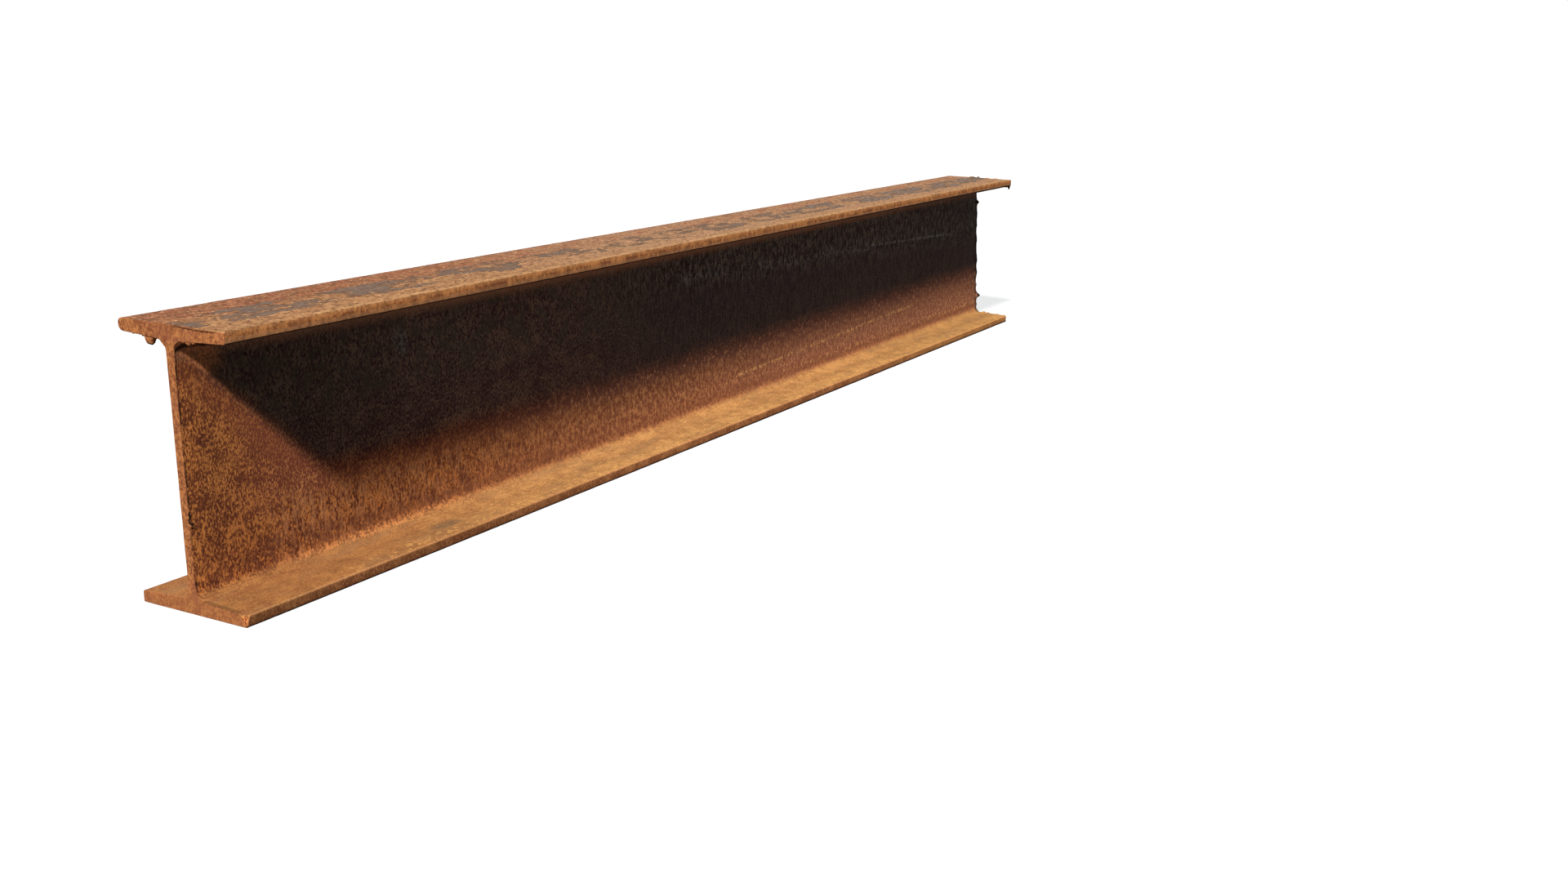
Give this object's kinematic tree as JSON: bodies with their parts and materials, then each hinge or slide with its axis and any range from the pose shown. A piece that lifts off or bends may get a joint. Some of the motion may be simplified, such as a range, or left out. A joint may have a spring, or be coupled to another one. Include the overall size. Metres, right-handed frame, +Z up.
{
  "type": "i-beam",
  "caption": "Short length of hot-rolled steel I-beam with tapered flanges, torch-cut at both ends and rusted all over, with streaks of bare mill scale",
  "frame": {"origin": "under the middle of the bottom flange, half way along the beam, on the face it lies on", "axes": "+X along the beam from the neat torch-cut end to the ragged one, +Y across the flanges, +Z up through the web"},
  "size_m": [1.3925, 0.1, 0.2022],
  "materials": {
    "steel": "rusted, with worn mill scale"
  },
  "bodies": {
    "root": {"i_beam": "steel"}
  },
  "joints": []
}
